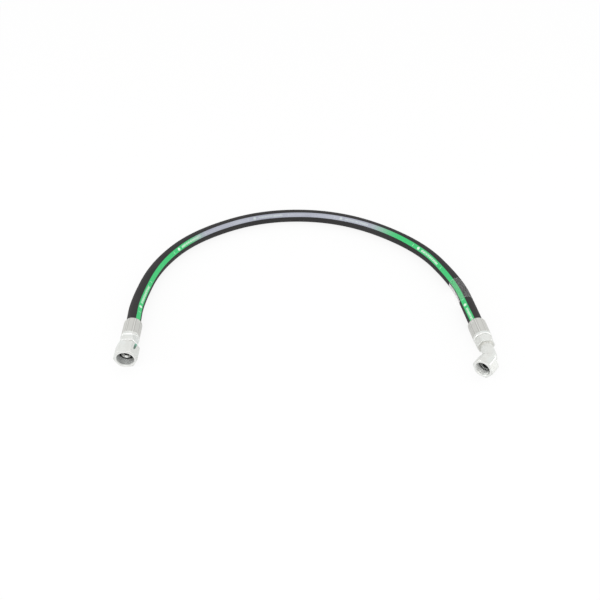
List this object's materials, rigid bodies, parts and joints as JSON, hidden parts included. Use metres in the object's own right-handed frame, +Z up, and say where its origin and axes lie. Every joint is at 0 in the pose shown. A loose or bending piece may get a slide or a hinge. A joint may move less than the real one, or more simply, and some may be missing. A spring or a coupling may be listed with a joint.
{
  "type": "hydraulic hose assembly",
  "caption": "Black wire-braided rubber hydraulic hose with a green layline and crimped ferrules, a straight swivel nut at one end and an elbow swivel nut at the other.",
  "frame": {"origin": "on the surface that the hose lies on, at the middle of the fittings' bounding box", "axes": "+Z up, +X from the straight fitting to the elbow fitting, -Y out of the straight fitting's mouth, the hose's arc towards +Y"},
  "size_m": [0.5362, 0.382, 0.03],
  "materials": {
    "cover_rubber": "satin",
    "tube_rubber": "matt",
    "braid_wire": "brass-coated wire",
    "layline": "printed",
    "label_film": "clear film",
    "plated_steel": "zinc plated",
    "ferrule_steel": "zinc plated, crimped",
    "spring_wire": "drawn wire",
    "seal_rubber": "satin",
    "braze": "plated over"
  },
  "bodies": {
    "hose_and_fittings": {"inner_tube": "tube_rubber", "inner_wire_braid": "braid_wire", "interlayer": "tube_rubber", "outer_wire_braid": "braid_wire", "outer_cover": "cover_rubber", "layline_tape": "layline", "marker_label": "label_film", "left_ferrule": "ferrule_steel", "left_insert": "plated_steel", "left_thrust_wire": "spring_wire", "left_o_ring": "seal_rubber", "right_ferrule": "ferrule_steel", "right_insert": "plated_steel", "right_braze_fillet": "braze", "right_elbow_tube": "plated_steel", "right_cone_nipple": "plated_steel", "right_thrust_wire": "spring_wire", "right_o_ring": "seal_rubber"},
    "left_nut": {"left_swivel_nut": "plated_steel"},
    "right_nut": {"right_swivel_nut": "plated_steel"}
  },
  "joints": [
    {"name": "left_nut_spin", "type": "hinge", "parent": "hose_and_fittings", "child": "left_nut", "pos_m": [-0.2509, -0.0132, 0.015], "axis": [0, -1, 0], "continuous": true},
    {"name": "right_nut_spin", "type": "hinge", "parent": "hose_and_fittings", "child": "right_nut", "pos_m": [0.24749, -0.03434, 0.0135], "axis": [-0.6119, -0.7909, 0], "continuous": true}
  ]
}
